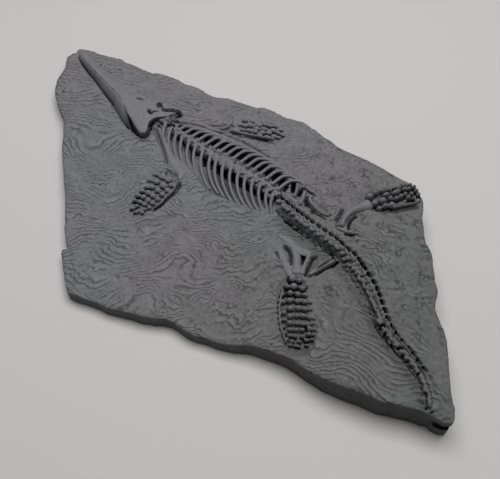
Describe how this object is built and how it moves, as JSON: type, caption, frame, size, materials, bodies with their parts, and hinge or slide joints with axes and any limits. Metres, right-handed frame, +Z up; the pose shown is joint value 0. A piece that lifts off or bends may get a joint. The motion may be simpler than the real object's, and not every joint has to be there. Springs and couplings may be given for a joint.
{
  "type": "ichthyosaur fossil skeleton",
  "caption": "Ichthyosaur skeleton seen from above, lying in relief on an irregular flat slab of dark grey stone.",
  "frame": {"origin": "middle of the slab's flat underside, at the centre of the whole object's box", "axes": "+X from the snout to the tail, +Y across the slab towards the fossil's left paddles, +Z up out of the face that carries the skeleton"},
  "size_m": [0.2, 0.112, 0.0146],
  "materials": {
    "slab_stone": "matte dark grey with fine layered contour lines",
    "fossil_bone": "matte dark grey, a shade lighter on worn edges"
  },
  "bodies": {
    "root": {"slab": "slab_stone", "backbone": "fossil_bone", "skull": "fossil_bone", "lower_jaw": "fossil_bone", "lower_fore_paddle": "fossil_bone", "upper_fore_paddle": "fossil_bone", "lower_hind_paddle": "fossil_bone", "upper_hind_paddle": "fossil_bone", "lower_shoulder_blade": "fossil_bone", "lower_humerus": "fossil_bone", "upper_shoulder_strap": "fossil_bone", "upper_humerus": "fossil_bone", "lower_hip_bar": "fossil_bone", "lower_hip_plate": "fossil_bone", "lower_femur": "fossil_bone", "lower_hip_branch": "fossil_bone", "lower_hip_blade": "fossil_bone", "upper_hip_bar": "fossil_bone", "upper_femur": "fossil_bone", "upper_hip_spike": "fossil_bone", "belly_plate": "fossil_bone", "upper_rib_01": "fossil_bone", "upper_rib_02": "fossil_bone", "upper_rib_03": "fossil_bone", "upper_rib_04": "fossil_bone", "upper_rib_05": "fossil_bone", "upper_rib_06": "fossil_bone", "upper_rib_07": "fossil_bone", "upper_rib_08": "fossil_bone", "upper_rib_09": "fossil_bone", "upper_rib_10": "fossil_bone", "upper_rib_11": "fossil_bone", "upper_rib_12": "fossil_bone", "upper_rib_13": "fossil_bone", "upper_rib_14": "fossil_bone", "upper_rib_15": "fossil_bone", "upper_rib_16": "fossil_bone", "lower_rib_01": "fossil_bone", "lower_rib_02": "fossil_bone", "lower_rib_03": "fossil_bone", "lower_rib_04": "fossil_bone", "lower_rib_05": "fossil_bone", "lower_rib_06": "fossil_bone", "lower_rib_07": "fossil_bone", "lower_rib_08": "fossil_bone", "lower_rib_09": "fossil_bone", "lower_rib_10": "fossil_bone", "lower_rib_11": "fossil_bone", "lower_rib_12": "fossil_bone", "lower_rib_13": "fossil_bone", "lower_rib_14": "fossil_bone", "lower_rib_15": "fossil_bone", "lower_rib_16": "fossil_bone", "lower_rib_17": "fossil_bone"}
  },
  "joints": []
}
